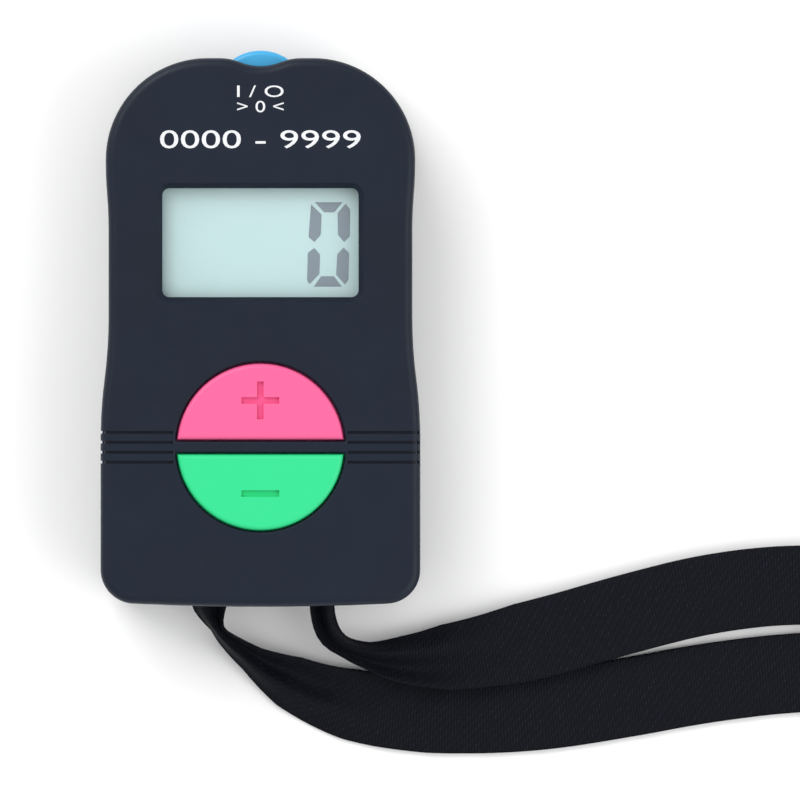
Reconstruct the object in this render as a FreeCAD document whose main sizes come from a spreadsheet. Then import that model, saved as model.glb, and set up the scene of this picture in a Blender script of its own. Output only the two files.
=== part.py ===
import FreeCAD, Part
import math
import os
import re

import Sketcher

# Hand tally counter with a ribbon lanyard, lying on its back. Millimetres.
# +X is to the right of the display, +Y towards the reset key, +Z out of the front.
# The origin is under the middle of the counter, on the surface that it lies on.

Vector = FreeCAD.Vector
doc = FreeCAD.newDocument("tally_counter")

DIMENSIONS = {
    # case outline
    "half_width": 22.0,
    "half_waist": 20.9,
    "half_head": 21.3,
    "bottom_y": -38.3,
    "bottom_radius": 361.0,
    "bottom_corner": 4.7,
    "hip_low_y": -15.4,
    "hip_high_y": 1.6,
    "waist_top_y": 13.5,
    "shoulder_x": 7.3,
    "shoulder_y": 23.2,
    "shoulder_radius": 14.0,
    "scoop_half_width": 5.6,
    "scoop_drop": 1.1,
    # case heights and walls
    "seam_z": 6.0,
    "front_z": 15.6,
    "wall": 1.6,
    "front_edge_radius": 1.2,
    "back_edge_radius": 2.0,
    "seam_bevel": 0.2,
    # display
    "display_y": 11.8,
    "window_width": 27.0,
    "window_height": 15.0,
    "window_corner": 1.0,
    "window_bevel": 0.7,
    "lens_width": 30.6,
    "lens_height": 18.6,
    "lens_thick": 1.0,
    "glass_width": 32.0,
    "glass_height": 19.6,
    "rear_glass_height": 15.6,
    "glass_thick": 0.7,
    "film_thick": 0.2,
    "film_inset": 0.6,
    "film_top_z": 12.8,
    "zebra_offset": 8.9,
    "zebra_width": 1.5,
    "zebra_length": 31.0,
    "holder_width": 35.2,
    "holder_height": 22.4,
    "holder_top_z": 12.6,
    "holder_floor_z": 10.9,
    "part_gap": 0.15,
    # circuit board
    "board_z": 8.0,
    "board_thick": 1.0,
    "board_half_width": 17.8,
    "board_low_y": -30.0,
    "board_high_y": 31.5,
    "board_corner": 7.0,
    "board_screw_x": 16.2,
    "board_screw_y": -4.2,
    "board_boss_radius": 2.0,
    "board_pilot_radius": 0.9,
    # chip parts on the back of the board
    "blob_y": -14.0,
    "blob_radius": 5.0,
    "blob_height": 1.4,
    "capacitor_length": 2.0,
    "capacitor_width": 1.25,
    "capacitor_height": 0.9,
    "resistor_height": 0.5,
    "chip_row_y": -22.5,
    "chip_pitch": 3.6,
    # keys
    "key_y": -16.3,
    "key_radius": 11.45,
    "key_edge": 1.03,
    "key_gap": 0.2,
    "key_top_z": 16.2,
    "key_round": 0.6,
    "flange_radius": 12.35,
    "flange_edge": 0.5,
    "flange_low_z": 12.9,
    "flange_thick": 0.9,
    "key_wall": 1.3,
    "key_core_top_z": 14.7,
    "key_post_radius": 2.6,
    "sign_offset": 6.4,
    "sign_length": 5.2,
    "sign_stroke": 0.9,
    "sign_depth": 0.45,
    "opening_edge": 0.85,
    "opening_bevel": 0.35,
    # silicone keypad
    "web_radius": 13.2,
    "web_thick": 1.0,
    "dome_radius": 4.15,
    "dome_top_radius": 2.9,
    "dome_top_z": 12.2,
    "dome_wall": 0.55,
    "stub_radius": 2.0,
    "stub_low_z": 10.7,
    "pill_radius": 1.8,
    "pill_thick": 0.5,
    # grip grooves
    "groove_y": -14.3,
    "groove_pitch": 1.367,
    "groove_width": 0.4,
    "groove_depth": 0.5,
    "groove_inner_x": 12.0,
    # reset key and its switch
    "reset_half_width": 3.8,
    "reset_top_y": 38.3,
    "reset_side_y": 37.1,
    "reset_z": 10.8,
    "reset_thick": 4.6,
    "reset_round": 0.7,
    "reset_gap": 0.15,
    "reset_slot_corner": 0.3,
    "reset_flange_low_y": 33.5,
    "reset_flange_thick": 0.8,
    "reset_flange_lip": 1.0,
    "switch_half_width": 3.2,
    "switch_low_y": 28.6,
    "switch_high_y": 32.2,
    "switch_top_z": 12.6,
    "switch_cover_thick": 0.3,
    "plunger_radius": 1.3,
    "plunger_low_y": 31.0,
    "plunger_high_y": 33.45,
    "plunger_clearance": 0.1,
    "switch_pit_y": 30.4,
    "leg_radius": 0.35,
    "leg_x": 2.25,
    "leg_end_z": 7.1,
    # cell, door and contacts
    "cell_radius": 5.8,
    "cell_low_z": 2.0,
    "cell_height": 5.4,
    "cell_cap_radius": 4.8,
    "cell_cap_height": 0.6,
    "cell_round": 0.4,
    "well_radius": 6.1,
    "collar_radius": 11.0,
    "collar_top_z": 5.0,
    "door_radius": 8.3,
    "door_low_z": 0.2,
    "door_high_z": 1.9,
    "door_clearance": 0.2,
    "lug_radius": 9.3,
    "lug_low_z": 1.1,
    "lug_half_width": 1.7,
    "lip_z": 1.0,
    "track_top_z": 2.0,
    "coin_slot_length": 9.0,
    "coin_slot_width": 1.5,
    "coin_slot_depth": 0.8,
    "door_turn": 60.0,
    "contact_half_width": 1.5,
    "contact_thick": 0.2,
    # case screws, lanyard pegs and slots
    "screw_low_x": 16.6,
    "screw_low_y": -32.6,
    "screw_high_x": 12.5,
    "screw_high_y": 27.5,
    "front_boss_radius": 2.4,
    "back_boss_radius": 3.1,
    "pilot_radius": 1.0,
    "pilot_top_z": 12.4,
    "screw_radius": 0.95,
    "screw_end_z": 11.6,
    "head_radius": 1.8,
    "head_low_z": 0.9,
    "head_high_z": 2.2,
    "head_clearance": 0.3,
    "shank_clearance": 1.2,
    "board_screw_radius": 0.85,
    "board_screw_end_z": 12.6,
    "board_head_radius": 1.5,
    "board_head_height": 0.9,
    "left_slot_x": -7.3,
    "right_slot_x": 8.4,
    "slot_width": 5.6,
    "slot_height": 3.2,
    "peg_y": -33.0,
    "peg_radius": 1.2,
    "peg_top_z": 6.9,
    "tab_low_y": -36.5,
    "tab_high_y": -30.4,
    "tab_width": 4.8,
    "tab_thick": 2.0,
    # ribbon
    "ribbon_width": 11.0,
    "ribbon_thick": 0.8,
    "left_neck_width": 5.0,
    "left_neck_thick": 1.6,
    "right_neck_width": 3.6,
    "right_neck_thick": 2.0,
    "coil_x": 136.0,
    "coil_y": -1.0,
    "coil_outer": 53.0,
    "coil_inner": 32.0,
    "coil_height": 11.6,
    "lead_x": 104.0,
    "lead_low_y": -54.0,
    "lead_high_y": -36.0,
}

sheet = doc.addObject("Spreadsheet::Sheet", "dims")
for row, (alias, number) in enumerate(DIMENSIONS.items(), start=1):
    sheet.set(f"A{row}", str(number))
    sheet.setAlias(f"A{row}", alias)
doc.recompute()

parts = []


def bound(text):
    """A formula in the sheet's words, as an expression that FreeCAD can bind."""
    return re.sub(r"[a-z_]+\b(?!\()", lambda word: "dims." + word[0], str(text))


def value(text):
    """What a formula in the sheet's words comes to now."""
    return float(sheet.evalExpression(bound(text)))


def finish(part):
    """Counts an object as a sub-part, under its own name."""
    part.Label = part.Name
    parts.append(part)
    return part


# ---------------------------------------------------------------- sketches


def plane_of(body, role):
    return next(item for item in body.Origin.OriginFeatures if item.Role == role)


def new_sketch(body, plane, level):
    """An empty sketch on one of the body's planes, raised by level along the plane's normal."""
    sketch = body.newObject("Sketcher::SketchObject", f"{body.Name}_sketch")
    sketch.AttachmentSupport = [(plane_of(body, plane), "")]
    sketch.MapMode = "FlatFace"
    sketch.setExpression("AttachmentOffset.Base.z", bound(level))
    return sketch


def hold(sketch, kind, geometry, point, formula):
    """Ties one coordinate of a sketch point, or a radius, to a formula."""
    number = value(formula)
    if kind == "Radius":
        index = sketch.addConstraint(Sketcher.Constraint(kind, geometry, number))
    else:
        index = sketch.addConstraint(Sketcher.Constraint(kind, -1, 1, geometry, point, number))
    sketch.setExpression(f"Constraints[{index}]", bound(formula))


def arc_between(start, end, radius):
    """The short arc from start to end. A positive radius has its centre on the left of the way."""
    chord = end - start
    middle = (start + end) * 0.5
    left = Vector(-chord.y, chord.x, 0).normalize()
    rise = math.sqrt(max(radius**2 - (chord.Length / 2) ** 2, 0.0))
    side = math.copysign(1, radius)
    centre = middle + left * rise * side
    outward = (middle - centre).normalize() if rise > 0 else left * -side
    return Part.Arc(start, centre + outward * abs(radius), end)


def add_outline(sketch, corners):
    """Closes a loop through corners (x, y) or (x, y, radius), where radius bends the edge that
    leaves the corner. Each x, y and radius is a formula in the sheet's words."""
    places = [Vector(value(corner[0]), value(corner[1]), 0) for corner in corners]
    edges = []
    for number, corner in enumerate(corners):
        start = places[number]
        end = places[(number + 1) % len(places)]
        if len(corner) == 2:
            edges.append((sketch.addGeometry(Part.LineSegment(start, end)), 1, 2))
            continue
        radius = value(corner[2])
        arc = sketch.addGeometry(arc_between(start, end, radius))
        edges.append((arc, 1, 2) if radius > 0 else (arc, 2, 1))
    for number, (edge, first, _) in enumerate(edges):
        before, _, last = edges[number - 1]
        sketch.addConstraint(Sketcher.Constraint("Coincident", before, last, edge, first))
    for (edge, first, _), corner in zip(edges, corners):
        hold(sketch, "DistanceX", edge, first, corner[0])
        hold(sketch, "DistanceY", edge, first, corner[1])
        if len(corner) == 3:
            hold(sketch, "Radius", edge, 0, f"abs({corner[2]})")


def add_circle(sketch, x, y, radius):
    circle = sketch.addGeometry(Part.Circle(Vector(value(x), value(y), 0), Vector(0, 0, 1), value(radius)))
    hold(sketch, "DistanceX", circle, 3, x)
    hold(sketch, "DistanceY", circle, 3, y)
    hold(sketch, "Radius", circle, 0, radius)


def box_corners(x, y, width, height, corner=None):
    """The corners of a rectangle about (x, y), with round corners where corner is given."""
    right, left = f"{x} + ({width}) / 2", f"{x} - ({width}) / 2"
    top, bottom = f"{y} + ({height}) / 2", f"{y} - ({height}) / 2"
    if corner is None:
        return [(left, bottom), (right, bottom), (right, top), (left, top)]
    return [
        (f"{left} + {corner}", bottom),
        (f"{right} - {corner}", bottom, corner),
        (right, f"{bottom} + {corner}"),
        (right, f"{top} - {corner}", corner),
        (f"{right} - {corner}", top),
        (f"{left} + {corner}", top, corner),
        (left, f"{top} - {corner}"),
        (left, f"{bottom} + {corner}", corner),
    ]


# ---------------------------------------------------------------- features


def new_body(name):
    body = doc.addObject("PartDesign::Body", name)
    body.AllowCompound = True
    return body


def grow(body, sketch, length, both_ways=False, backwards=False):
    """Pads a sketch."""
    pad = body.newObject("PartDesign::Pad", f"{body.Name}_pad")
    pad.Profile = sketch
    pad.SideType = "Symmetric" if both_ways else "One side"
    pad.Reversed = backwards
    pad.setExpression("Length", bound(length))
    doc.recompute()
    return pad


def cut(body, sketch, length, both_ways=False, ahead=False):
    """Pockets a sketch, behind it or ahead of it, and stops if nothing was cut."""
    before = body.Shape.Volume
    pocket = body.newObject("PartDesign::Pocket", f"{body.Name}_pocket")
    pocket.Profile = sketch
    pocket.SideType = "Symmetric" if both_ways else "One side"
    pocket.Reversed = ahead
    pocket.setExpression("Length", bound(length))
    doc.recompute()
    if body.Shape.Volume > before - 1e-3:
        raise RuntimeError(f"{pocket.Name} cuts nothing")
    return pocket


def spin(body, sketch):
    """Turns a sketch in the XZ plane right round the Z axis."""
    turned = body.newObject("PartDesign::Revolution", f"{body.Name}_revolution")
    turned.Profile = sketch
    turned.ReferenceAxis = (plane_of(body, "Z_Axis"), [""])
    turned.Angle = 360
    doc.recompute()
    return turned


def soften(body, kind, size, wanted):
    """Rounds or bevels every edge of the body that wanted(edge) picks."""
    names = [f"Edge{n}" for n, edge in enumerate(body.Shape.Edges, start=1) if wanted(edge)]
    base = body.Tip
    feature = body.newObject(f"PartDesign::{kind}", f"{body.Name}_{kind.lower()}")
    feature.Base = (base, names)
    feature.setExpression("Radius" if kind == "Fillet" else "Size", bound(size))
    doc.recompute()
    return feature


def lies_at(level):
    """Picks the edges that lie flat at a level."""
    return lambda edge: (
        abs(edge.BoundBox.ZMin - value(level)) < 1e-3 and abs(edge.BoundBox.ZMax - value(level)) < 1e-3
    )


def within(edge, x, y, half_width, half_height):
    box = edge.BoundBox
    return (
        box.XMin > x - half_width
        and box.XMax < x + half_width
        and box.YMin > y - half_height
        and box.YMax < y + half_height
    )


# ---------------------------------------------------------------- case


def ogee(run, step):
    """The radius of the two equal arcs that shift an edge sideways by step over a run."""
    return f"((({run})^2 + ({step})^2) / (4 * ({step})))"


def case_outline(inset):
    """The case seen from the front, drawn in by inset all round."""
    hip = ogee("hip_high_y - hip_low_y", "half_width - half_waist")
    neck = ogee("shoulder_y - waist_top_y", "half_head - half_waist")
    scoop = ogee("scoop_half_width", "scoop_drop")
    # the corner arc touches the bowed bottom edge on the line through both of their centres
    between = "(bottom_radius - bottom_corner)"
    reach = "(half_width - bottom_corner)"
    depth = f"sqrt({between}^2 - {reach}^2)"
    spread = f"(bottom_radius - {inset}) / {between}"
    right = [
        (f"{reach} * {spread}", f"bottom_y + bottom_radius - {depth} * {spread}", f"bottom_corner - {inset}"),
        (f"half_width - {inset}", f"bottom_y + bottom_radius - {depth}"),
        (f"half_width - {inset}", "hip_low_y", f"{hip} - {inset}"),
        (f"(half_width + half_waist) / 2 - {inset}", "(hip_low_y + hip_high_y) / 2", f"-({hip} + {inset})"),
        (f"half_waist - {inset}", "hip_high_y"),
        (f"half_waist - {inset}", "waist_top_y", f"-({neck} + {inset})"),
        (f"(half_waist + half_head) / 2 - {inset}", "(waist_top_y + shoulder_y) / 2", f"{neck} - {inset}"),
        (f"half_head - {inset}", "shoulder_y", f"shoulder_radius - {inset}"),
        ("shoulder_x", f"shoulder_y + shoulder_radius - {inset}"),
        ("scoop_half_width", f"shoulder_y + shoulder_radius - {inset}", f"{scoop} - {inset}"),
        (
            "scoop_half_width / 2",
            f"shoulder_y + shoulder_radius - scoop_drop / 2 - {inset}",
            f"-({scoop} + {inset})",
        ),
    ]
    # the left side is the right one mirrored, so each bend moves to its edge's other end
    bends = [corner[2:] for corner in right[:-1]]
    bends.insert(0, (f"bottom_radius - {inset}",))
    left = [(f"-({corner[0]})", corner[1], *bend) for corner, bend in zip(right, bends)]
    return right + left[::-1]


def front_shell():
    body = new_body("front_shell")
    outline = new_sketch(body, "XY_Plane", "seam_z")
    add_outline(outline, case_outline("0"))
    grow(body, outline, "front_z - seam_z")
    soften(body, "Fillet", "front_edge_radius", lies_at("front_z"))
    soften(body, "Chamfer", "seam_bevel", lies_at("seam_z"))

    hollow = new_sketch(body, "XY_Plane", "seam_z")
    add_outline(hollow, case_outline("wall"))
    cut(body, hollow, "front_z - wall - seam_z", ahead=True)

    bosses = new_sketch(body, "XY_Plane", "seam_z")
    for x, y in screw_places():
        add_circle(bosses, x, y, "front_boss_radius")
    grow(body, bosses, "front_z - wall / 2 - seam_z")
    board_bosses = new_sketch(body, "XY_Plane", "board_z + board_thick")
    for side in ("", "-"):
        add_circle(board_bosses, f"{side}board_screw_x", "board_screw_y", "board_boss_radius")
    grow(body, board_bosses, "front_z - wall / 2 - board_z - board_thick")
    pilots = new_sketch(body, "XY_Plane", "seam_z")
    for x, y in screw_places():
        add_circle(pilots, x, y, "pilot_radius")
    cut(body, pilots, "pilot_top_z - seam_z", ahead=True)
    board_pilots = new_sketch(body, "XY_Plane", "board_z + board_thick")
    for side in ("", "-"):
        add_circle(board_pilots, f"{side}board_screw_x", "board_screw_y", "board_pilot_radius")
    cut(body, board_pilots, "front_z - wall - board_z - board_thick - 0.4", ahead=True)

    window = new_sketch(body, "XY_Plane", "front_z")
    add_outline(window, box_corners("0", "display_y", "window_width", "window_height", "window_corner"))
    cut(body, window, "wall + 1")
    soften(
        body,
        "Chamfer",
        "window_bevel",
        lambda edge: lies_at("front_z")(edge) and within(edge, 0, value("display_y"), 14, 8),
    )

    for side in (1, -1):
        opening = new_sketch(body, "XY_Plane", "front_z")
        half_round(opening, "key_radius + key_gap", "opening_edge", side)
        cut(body, opening, "wall + 1")
    soften(
        body,
        "Fillet",
        "opening_bevel",
        lambda edge: lies_at("front_z")(edge) and within(edge, 0, value("key_y"), 12, 12),
    )

    for side in (1, -1):
        grip_grooves(body, side)
    reset_slot = new_sketch(body, "XZ_Plane", "-shoulder_y")
    slot = ("2 * (reset_half_width + reset_gap)", "reset_thick + 2 * reset_gap", "reset_slot_corner")
    add_outline(reset_slot, box_corners("0", "reset_z", *slot))
    cut(body, reset_slot, "shoulder_radius + 2")
    ribbon_slots(body)
    return finish(body)


def screw_places():
    return [
        (f"{side}screw_{level}_x", f"screw_{level}_y") for level in ("low", "high") for side in ("", "-")
    ]


def half_round(sketch, radius, edge, side, x="0", y="key_y"):
    """A half disc above (side 1) or below (side -1) the middle of the keys."""
    reach = f"sqrt(({radius})^2 - ({edge})^2)"
    level = f"{y} + {edge}" if side > 0 else f"{y} - ({edge})"
    ends = [(f"{x} + {reach}", level), (f"{x} - {reach}", level)]
    if side < 0:
        ends.reverse()
    add_outline(sketch, [(*ends[0], radius), ends[1]])


def grip_grooves(body, side):
    """Four grooves on one side, from the keys out over the edge and down to the seam."""
    grooves = new_sketch(body, "XZ_Plane", "-groove_y")
    sign, bend = ("", "-") if side > 0 else ("-", "")
    deep = "front_z - groove_depth"
    wall_x = f"{sign}(half_width - groove_depth)"
    corners = [
        (f"{sign}(half_width - front_edge_radius)", deep, f"{bend}(front_edge_radius - groove_depth)"),
        (wall_x, "front_z - front_edge_radius"),
        (wall_x, "seam_z - 1"),
        (f"{sign}(half_width + 1)", "seam_z - 1"),
        (f"{sign}(half_width + 1)", "front_z + 1"),
        (f"{sign}groove_inner_x", "front_z + 1"),
        (f"{sign}groove_inner_x", deep),
    ]
    add_outline(grooves, corners)
    first = cut(body, grooves, "groove_width", both_ways=True)
    row = body.newObject("PartDesign::LinearPattern", f"{body.Name}_grooves")
    row.Originals = [first]
    row.Direction = (plane_of(body, "Y_Axis"), [""])
    row.Reversed = True
    row.setExpression("Length", bound("3 * groove_pitch"))
    row.Occurrences = 4
    body.Tip = row
    doc.recompute()


def ribbon_slots(body):
    """The two notches at the seam that the ribbon comes out of."""
    notches = new_sketch(body, "XZ_Plane", "-(peg_y)")
    for side in ("left", "right"):
        add_outline(notches, box_corners(f"{side}_slot_x", "seam_z", "slot_width", "slot_height"))
    cut(body, notches, "peg_y - bottom_y + 2", ahead=True)


def back_shell():
    body = new_body("back_shell")
    outline = new_sketch(body, "XY_Plane", "0")
    add_outline(outline, case_outline("0"))
    grow(body, outline, "seam_z")
    soften(body, "Fillet", "back_edge_radius", lies_at("0"))
    soften(body, "Chamfer", "seam_bevel", lies_at("seam_z"))
    hollow = new_sketch(body, "XY_Plane", "seam_z")
    add_outline(hollow, case_outline("wall"))
    cut(body, hollow, "seam_z - wall")

    collar = new_sketch(body, "XY_Plane", "wall / 2")
    add_circle(collar, "0", "display_y", "collar_radius")
    grow(body, collar, "collar_top_z - wall / 2")
    bosses = new_sketch(body, "XY_Plane", "wall / 2")
    for x, y in screw_places():
        add_circle(bosses, x, y, "back_boss_radius")
    grow(body, bosses, "seam_z - wall / 2")
    pegs = new_sketch(body, "XY_Plane", "wall / 2")
    for side in ("left", "right"):
        add_circle(pegs, f"{side}_slot_x", "peg_y", "peg_radius")
    grow(body, pegs, "peg_top_z - wall / 2")
    shank_holes = new_sketch(body, "XY_Plane", "0")
    head_holes = new_sketch(body, "XY_Plane", "0")
    for x, y in screw_places():
        add_circle(shank_holes, x, y, "shank_clearance")
        add_circle(head_holes, x, y, "head_radius + head_clearance")
    cut(body, shank_holes, "seam_z + 1", ahead=True)
    cut(body, head_holes, "head_high_z", ahead=True)

    well = new_sketch(body, "XY_Plane", "0")
    add_circle(well, "0", "display_y", "well_radius")
    cut(body, well, "collar_top_z + 1", ahead=True)
    mouth = new_sketch(body, "XY_Plane", "0")
    add_circle(mouth, "0", "display_y", "door_radius + door_clearance")
    cut(body, mouth, "track_top_z", ahead=True)
    track = new_sketch(body, "XY_Plane", "lip_z")
    add_circle(track, "0", "display_y", "lug_radius + door_clearance")
    cut(body, track, "track_top_z - lip_z", ahead=True)
    gates = new_sketch(body, "XY_Plane", "0")
    gate_size = ("lug_radius + door_clearance", "lug_half_width + 2 * door_clearance")
    add_outline(gates, lug_bar(*gate_size, "door_turn"))
    cut(body, gates, "track_top_z", ahead=True)
    contact_notch = new_sketch(body, "XY_Plane", "track_top_z")
    notch = ("2 * contact_half_width + 0.6", "collar_radius - well_radius + 2")
    add_outline(contact_notch, box_corners("0", "display_y + (collar_radius + well_radius) / 2", *notch))
    cut(body, contact_notch, "seam_z", ahead=True)
    ribbon_slots(body)
    return finish(body)


def lug_bar(reach, half_width, turn):
    """A bar across the door, with round ends, turned back by an angle in degrees."""
    along = f"sqrt(({reach})^2 - ({half_width})^2)"
    corners = []
    for x, y, bend in (("1", "-1", reach), ("1", "1", None), ("-1", "1", reach), ("-1", "-1", None)):
        u, v = f"{x} * {along}", f"{y} * ({half_width})"
        place = (
            f"({u}) * cos({turn}) + ({v}) * sin({turn})",
            f"display_y - ({u}) * sin({turn}) + ({v}) * cos({turn})",
        )
        corners.append(place if bend is None else (*place, bend))
    return corners


# ---------------------------------------------------------------- display


def plate(name, x, y, width, height, low, thick, corner=None):
    """A flat plate about (x, y) that starts at the height low."""
    body = new_body(name)
    outline = new_sketch(body, "XY_Plane", low)
    add_outline(outline, box_corners(x, y, width, height, corner))
    grow(body, outline, thick)
    return body


def display():
    lens_low = "front_z - wall - lens_thick"
    size = ("lens_width", "lens_height")
    finish(plate("display_window", "0", "display_y", *size, lens_low, "lens_thick", "window_corner"))
    glass_top = "film_top_z - film_thick"
    film = "film_inset"
    layers = {
        "front_polariser": (f"rear_glass_height - {film}", glass_top, "film_thick"),
        "lcd_front_glass": ("glass_height", f"{glass_top} - glass_thick", "glass_thick"),
        "lcd_rear_glass": ("rear_glass_height", f"{glass_top} - 2 * glass_thick", "glass_thick"),
        "rear_reflector": (
            f"rear_glass_height - {film}",
            f"{glass_top} - 2 * glass_thick - film_thick",
            "film_thick",
        ),
    }
    for name, (height, low, thick) in layers.items():
        width = "glass_width" if "glass" in name else f"glass_width - {film}"
        finish(plate(name, "0", "display_y", width, height, low, thick))

    board_top = "board_z + board_thick"
    ledge = f"{glass_top} - glass_thick"
    for name, side in (("zebra_upper", "+"), ("zebra_lower", "-")):
        size = ("zebra_length", "zebra_width", board_top, f"{ledge} - ({board_top})")
        finish(plate(name, "0", f"display_y {side} zebra_offset", *size))

    holder_size = ("holder_width", "holder_height", board_top, f"holder_top_z - ({board_top})")
    holder = plate("lcd_holder", "0", "display_y", *holder_size)
    bed = new_sketch(holder, "XY_Plane", "holder_top_z")
    add_outline(
        bed, box_corners("0", "display_y", "glass_width + 2 * part_gap", "glass_height + 2 * part_gap")
    )
    cut(holder, bed, "holder_top_z - holder_floor_z")
    channels = new_sketch(holder, "XY_Plane", "holder_floor_z")
    for side in ("+", "-"):
        size = ("zebra_length + 2 * part_gap", "zebra_width + 2 * part_gap")
        add_outline(channels, box_corners("0", f"display_y {side} zebra_offset", *size))
    cut(holder, channels, "holder_floor_z")
    finish(holder)


# ---------------------------------------------------------------- circuit board


def circuit_board():
    body = new_body("circuit_board")
    outline = new_sketch(body, "XY_Plane", "board_z")
    middle_y = "(board_low_y + board_high_y) / 2"
    size = ("2 * board_half_width", "board_high_y - board_low_y")
    corners = box_corners("0", middle_y, *size, "board_corner")
    corners[0:2] = [("-board_half_width", "board_low_y"), ("board_half_width", "board_low_y")]
    corners[2:3] = []
    corners[-1:] = []
    add_outline(outline, corners)
    grow(body, outline, "board_thick")
    holes = new_sketch(body, "XY_Plane", "board_z")
    for side in ("", "-"):
        add_circle(holes, f"{side}screw_high_x", "screw_high_y", "front_boss_radius + 2 * part_gap")
        add_circle(holes, f"{side}board_screw_x", "board_screw_y", "board_screw_radius + part_gap")
        add_circle(holes, f"{side}leg_x", "(switch_low_y + switch_high_y) / 2", "leg_radius + part_gap / 2")
    cut(body, holes, "board_thick", ahead=True)
    return finish(body)


def chip_parts():
    """The epoxy blob over the counter chip, and the small parts in a row below it."""
    blob = new_body("chip_blob")
    section = new_sketch(blob, "XZ_Plane", "0")
    crown = "((blob_radius^2 + blob_height^2) / (2 * blob_height))"
    corners = [("0", "board_z - blob_height", crown), ("blob_radius", "board_z"), ("0", "board_z")]
    add_outline(section, corners)
    spin(blob, section)
    blob.setExpression("Placement.Base.y", bound("blob_y"))
    finish(blob)
    rows = {
        "chip_capacitors": ("capacitor_height", "chip_row_y", "-chip_pitch", 3),
        "chip_resistors": ("resistor_height", "chip_row_y - chip_pitch", "-chip_pitch / 2", 2),
    }
    for name, (height, y, first_x, count) in rows.items():
        row = new_body(name)
        outline = new_sketch(row, "XY_Plane", "board_z")
        for number in range(count):
            place = (f"{first_x} + {number} * chip_pitch", y)
            add_outline(outline, box_corners(*place, "capacitor_width", "capacitor_length"))
        grow(row, outline, height, backwards=True)
        finish(row)


# ---------------------------------------------------------------- keys and keypad


def key(name, side):
    """A half-round key: side 1 is the plus key, side -1 the minus key."""
    body = new_body(name)
    flange = new_sketch(body, "XY_Plane", "flange_low_z")
    half_round(flange, "flange_radius", "flange_edge", side)
    grow(body, flange, "flange_thick")
    cap = new_sketch(body, "XY_Plane", "flange_low_z")
    half_round(cap, "key_radius", "key_edge", side)
    grow(body, cap, "key_top_z - flange_low_z")
    soften(body, "Fillet", "key_round", lies_at("key_top_z"))
    core = new_sketch(body, "XY_Plane", "flange_low_z")
    half_round(core, "key_radius - key_wall", "key_edge + key_wall", side)
    cut(body, core, "key_core_top_z - flange_low_z", ahead=True)
    sign_y = f"key_y + {side} * sign_offset"
    post = new_sketch(body, "XY_Plane", "dome_top_z")
    add_circle(post, "0", sign_y, "key_post_radius")
    grow(body, post, "key_core_top_z + 0.1 - dome_top_z")
    sign = new_sketch(body, "XY_Plane", "key_top_z")
    if side > 0:
        add_outline(sign, plus_corners(sign_y))
    else:
        add_outline(sign, box_corners("0", sign_y, "sign_length", "sign_stroke"))
    cut(body, sign, "sign_depth")
    return finish(body)


def plus_corners(y):
    """The twelve corners of a plus sign."""
    arm, half = "sign_length / 2", "sign_stroke / 2"
    quarter = [(arm, f"-({half})"), (arm, half), (half, half)]
    corners = []
    for _ in range(4):
        corners += quarter
        quarter = [(f"-({v})", u) for u, v in quarter]
    return [(u, f"{y} + ({v})") for u, v in corners]


def dome(name, side):
    """A collapsing rubber dome with a stub inside for its conductive pill."""
    body = new_body(name)
    floor = "board_z + board_thick"
    section = new_sketch(body, "XZ_Plane", "0")
    corners = [
        ("0", "dome_top_z"),
        ("0", "stub_low_z"),
        ("stub_radius", "stub_low_z"),
        ("stub_radius", "dome_top_z - 2 * dome_wall"),
        ("dome_top_radius - dome_wall", "dome_top_z - 2 * dome_wall"),
        ("dome_radius - dome_wall", f"{floor} + dome_wall"),
        ("dome_radius - dome_wall", floor),
        ("dome_radius", floor),
        ("dome_radius", f"{floor} + 1.5 * dome_wall"),
        ("dome_top_radius", "dome_top_z - 1.5 * dome_wall"),
        ("dome_top_radius", "dome_top_z"),
    ]
    add_outline(section, corners)
    spin(body, section)
    body.setExpression("Placement.Base.y", bound(f"key_y + {side} * sign_offset"))
    return finish(body)


def pill(name, side):
    body = new_body(name)
    disc = new_sketch(body, "XY_Plane", "stub_low_z - pill_thick")
    add_circle(disc, "0", "0", "pill_radius")
    grow(body, disc, "pill_thick")
    body.setExpression("Placement.Base.y", bound(f"key_y + {side} * sign_offset"))
    return finish(body)


def keypad_web():
    body = new_body("keypad_web")
    disc = new_sketch(body, "XY_Plane", "board_z + board_thick")
    add_circle(disc, "0", "key_y", "web_radius")
    grow(body, disc, "web_thick")
    holes = new_sketch(body, "XY_Plane", "board_z + board_thick")
    for side in (1, -1):
        add_circle(holes, "0", f"key_y + {side} * sign_offset", "dome_radius")
    cut(body, holes, "web_thick", ahead=True)
    return finish(body)


# ---------------------------------------------------------------- reset key and switch


def reset_key():
    body = new_body("reset_key")
    low = "reset_z - reset_thick / 2"
    rise = "(reset_top_y - reset_side_y)"
    crown_radius = f"((reset_half_width^2 + {rise}^2) / (2 * {rise}))"
    head = new_sketch(body, "XY_Plane", low)
    corners = [
        ("-reset_half_width", "reset_flange_low_y"),
        ("reset_half_width", "reset_flange_low_y"),
        ("reset_half_width", "reset_side_y", crown_radius),
        ("-reset_half_width", "reset_side_y"),
    ]
    add_outline(head, corners)
    grow(body, head, "reset_thick")
    shoulder = value("reset_side_y")
    soften(
        body,
        "Fillet",
        "reset_round",
        lambda edge: edge.BoundBox.ZLength < 1e-3 and edge.BoundBox.YMax > shoulder + 0.5,
    )
    flange = new_sketch(body, "XZ_Plane", "-reset_flange_low_y")
    lip = ("2 * (reset_half_width + reset_flange_lip)", "reset_thick + 1.6 * reset_flange_lip")
    add_outline(flange, box_corners("0", "reset_z", *lip, "reset_round"))
    grow(body, flange, "reset_flange_thick", backwards=True)
    return finish(body)


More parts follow.
